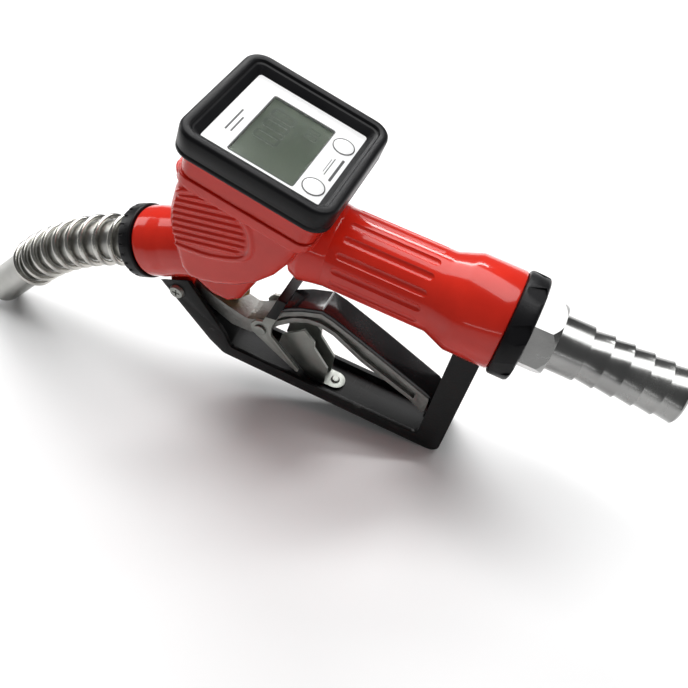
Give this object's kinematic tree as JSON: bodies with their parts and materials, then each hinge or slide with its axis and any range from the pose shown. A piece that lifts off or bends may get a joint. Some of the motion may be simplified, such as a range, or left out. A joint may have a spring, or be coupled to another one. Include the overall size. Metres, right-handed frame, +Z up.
{
  "type": "fuel dispensing nozzle",
  "caption": "Hand-held fuel nozzle with a digital flow meter on top, a sprung lever in a guard, a coil-wrapped bent spout and a swivelling barbed hose tail.",
  "frame": {"origin": "bottom centre of the whole nozzle as it stands on a bench, on the guard's rear corner and the spout's tip", "axes": "+X along the nozzle from the spout to the hose tail, +Y across it, +Z up; the grip slopes 12 degrees down towards +X"},
  "size_m": [0.4391, 0.076, 0.1968],
  "materials": {
    "red_paint": "glossy red paint on die-cast aluminium",
    "black_plastic": "satin black moulded nylon",
    "black_gloss": "glossy black moulded cover",
    "black_paint": "black powder-coated steel sheet",
    "spout_aluminium": "satin drawn aluminium tube",
    "tail_aluminium": "turned aluminium, fine tool marks",
    "spring_steel": "bright nickel-plated spring wire",
    "plated_steel": "zinc-plated steel",
    "cast_alloy": "die-cast alloy, tumbled",
    "brass": "turned brass",
    "rubber": "black nitrile rubber",
    "white_label": "printed white polycarbonate",
    "window_clear": "clear window",
    "lcd_glass": "grey-green liquid crystal",
    "board_green": "green solder mask",
    "battery_sleeve": "shrink sleeve",
    "natural_plastic": "natural acetal"
  },
  "bodies": {
    "nozzle_body": {"body_casting": "red_paint", "outlet_nut": "black_plastic", "spout_tube": "spout_aluminium", "spout_spring": "spring_steel", "spring_end_ring": "spring_steel", "spout_seal": "rubber", "check_guide": "brass", "check_spring": "spring_steel", "valve_seat": "brass", "valve_spring": "spring_steel", "valve_bonnet": "cast_alloy", "bonnet_seal": "rubber", "packing_nut": "brass", "stem_seals": "rubber", "inlet_straightener": "natural_plastic", "outlet_straightener": "natural_plastic", "turbine_shaft": "plated_steel", "inlet_strainer": "plated_steel", "inlet_nut": "black_plastic", "swivel_seals": "rubber", "lever_guard": "black_paint", "guard_screw": "plated_steel", "hold_open_rack": "plated_steel", "rack_rivets": "plated_steel", "lever_pivot_screw": "plated_steel", "pivot_screw_nut": "plated_steel", "meter_gasket": "rubber", "meter_housing": "red_paint", "meter_screws": "plated_steel", "meter_bezel": "black_plastic", "face_plate": "white_label", "display_window": "window_clear", "lcd_module": "lcd_glass", "circuit_board": "board_green", "batteries": "battery_sleeve", "battery_tray": "black_plastic"},
    "lever_arm": {"lever": "cast_alloy", "lever_cover": "black_gloss", "clip_pin": "plated_steel", "clip_spring": "spring_steel"},
    "clip": {"hold_open_clip": "plated_steel"},
    "main_valve": {"valve_poppet": "brass", "poppet_seal": "rubber"},
    "check_valve": {"check_poppet": "brass"},
    "turbine": {"turbine_rotor": "natural_plastic"},
    "hose_end": {"hose_tail": "tail_aluminium"},
    "reset": {"reset_button": "white_label"},
    "calibrate": {"calibrate_button": "white_label"}
  },
  "joints": [
    {"name": "lever_hinge", "type": "hinge", "parent": "nozzle_body", "child": "lever_arm", "pos_m": [-0.05242, 0, 0.07034], "axis": [0, -1, 0], "range_deg": [0, 11], "stiffness_Nm_per_rad": 0.6, "springref_deg": -2.86},
    {"name": "valve_lift", "type": "slide", "parent": "nozzle_body", "child": "main_valve", "axis": [0.2079, 0, 0.9781], "range_m": [0, 0.0057], "deforming": ["valve_spring"]},
    {"name": "clip_hinge", "type": "hinge", "parent": "lever_arm", "child": "clip", "pos_m": [-0.00244, 0, 0.05634], "axis": [0, -1, 0], "range_deg": [0, 9], "stiffness_Nm_per_rad": 0.02, "springref_deg": -17.19},
    {"name": "check_valve_slide", "type": "slide", "parent": "nozzle_body", "child": "check_valve", "axis": [-0.9659, 0, -0.2588], "range_m": [0, 0.004], "stiffness_N_per_m": 200, "springref_m": -0.003, "deforming": ["check_spring"]},
    {"name": "turbine_spin", "type": "hinge", "parent": "nozzle_body", "child": "turbine", "pos_m": [0.04947, 0, 0.11923], "axis": [0.9781, 0, -0.2079], "continuous": true},
    {"name": "hose_swivel", "type": "hinge", "parent": "nozzle_body", "child": "hose_end", "pos_m": [0.13066, 0, 0.10197], "axis": [0.9781, 0, -0.2079], "continuous": true},
    {"name": "reset_press", "type": "slide", "parent": "nozzle_body", "child": "reset", "axis": [-0.3746, 0, -0.9272], "range_m": [0, 0.0008], "stiffness_N_per_m": 1500, "springref_m": -0.0005},
    {"name": "calibrate_press", "type": "slide", "parent": "nozzle_body", "child": "calibrate", "axis": [-0.3746, 0, -0.9272], "range_m": [0, 0.0008], "stiffness_N_per_m": 1500, "springref_m": -0.0005}
  ],
  "couplings": [
    {"joint": "valve_lift", "follows": "lever_hinge", "m_per_rad": 0.0295}
  ]
}
